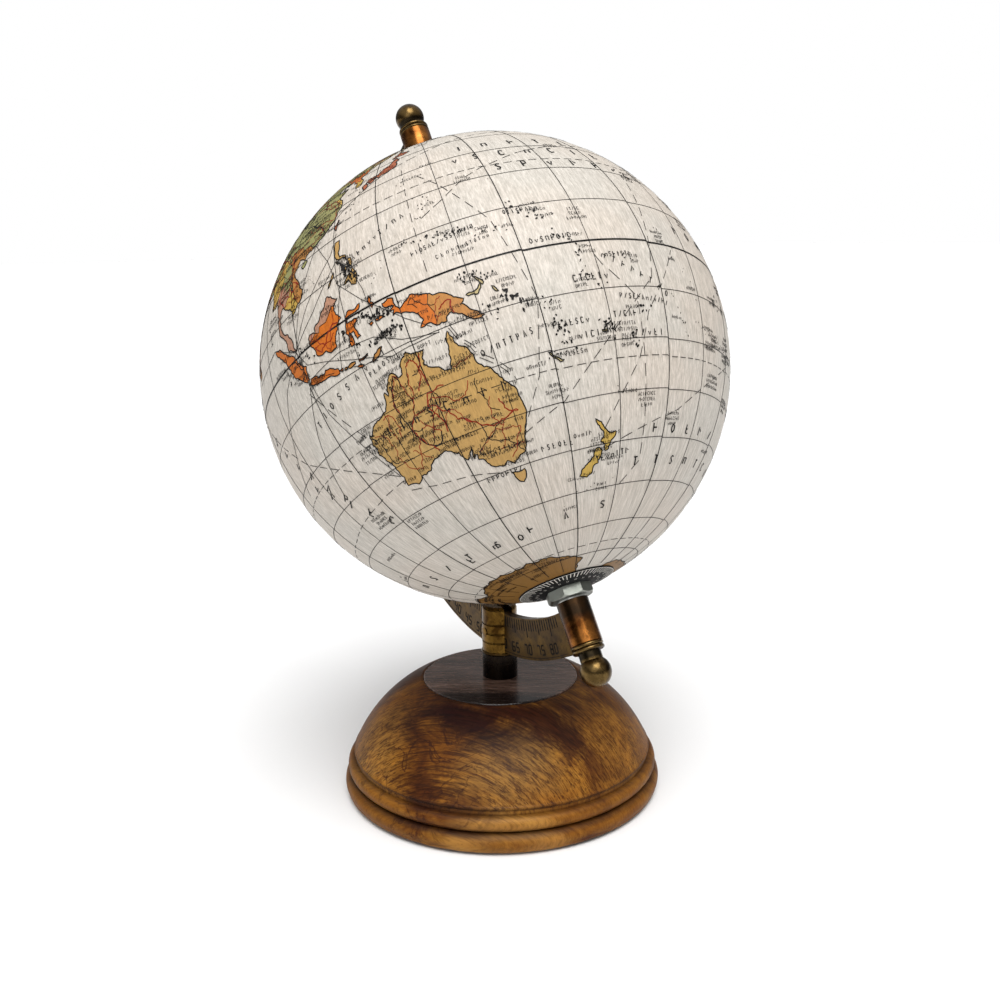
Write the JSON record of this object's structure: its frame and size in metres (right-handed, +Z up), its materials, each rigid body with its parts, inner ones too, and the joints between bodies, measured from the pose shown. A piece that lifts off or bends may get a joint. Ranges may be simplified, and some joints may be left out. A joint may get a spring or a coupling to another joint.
{
  "type": "desktop globe on stand",
  "caption": "Small tilted desktop globe: map ball that spins between two pins on a flat brass half-meridian, on a slotted brass post and a domed turned wooden base.",
  "frame": {"origin": "centre of the resting face, under the felt pad", "axes": "+Z up; the meridian lies in the XZ plane and the north pole leans towards -X"},
  "size_m": [0.1433, 0.127, 0.1952],
  "materials": {
    "base_wood": "warm brown turned wood, waxed",
    "disc_lacquer": "dark streaked disc, glossy lacquer",
    "felt": "felt",
    "post_brass": "aged, polished",
    "arc_brass": "aged, satin, engraved",
    "boss_brass": "reddish aged brass, polished",
    "finial_brass": "aged, polished",
    "zinc_steel": "zinc plated",
    "nickel": "dull nickel plate",
    "ball_shell": "plain",
    "map_paper": "printed paper under a satin varnish",
    "dial_paper": "printed paper under a satin varnish",
    "bush_wood": "plain turned wood"
  },
  "bodies": {
    "stand": {"base": "base_wood", "base_disc": "disc_lacquer", "felt_pad": "felt", "post": "post_brass", "post_stud": "zinc_steel", "stud_washer": "zinc_steel", "stud_nut": "zinc_steel", "meridian_arc": "arc_brass", "arc_rivet": "post_brass", "north_boss": "boss_brass", "south_boss": "boss_brass", "north_finial": "finial_brass", "south_finial": "finial_brass", "north_pivot_pin": "zinc_steel", "south_pivot_pin": "zinc_steel", "north_thrust_washer": "zinc_steel", "south_thrust_washer": "zinc_steel"},
    "ball": {"north_hemisphere": "ball_shell", "south_hemisphere": "ball_shell", "equator_strip": "ball_shell", "map_gores": "map_paper", "north_hour_dial": "dial_paper", "south_hour_dial": "dial_paper", "axle_tube": "zinc_steel", "north_bush": "bush_wood", "south_bush": "bush_wood", "north_pole_nut": "nickel", "south_pole_nut": "nickel"}
  },
  "joints": [
    {"name": "globe_spin", "type": "hinge", "parent": "stand", "child": "ball", "pos_m": [0, 0, 0.1208], "axis": [-0.5519, 0, 0.8339], "continuous": true}
  ]
}
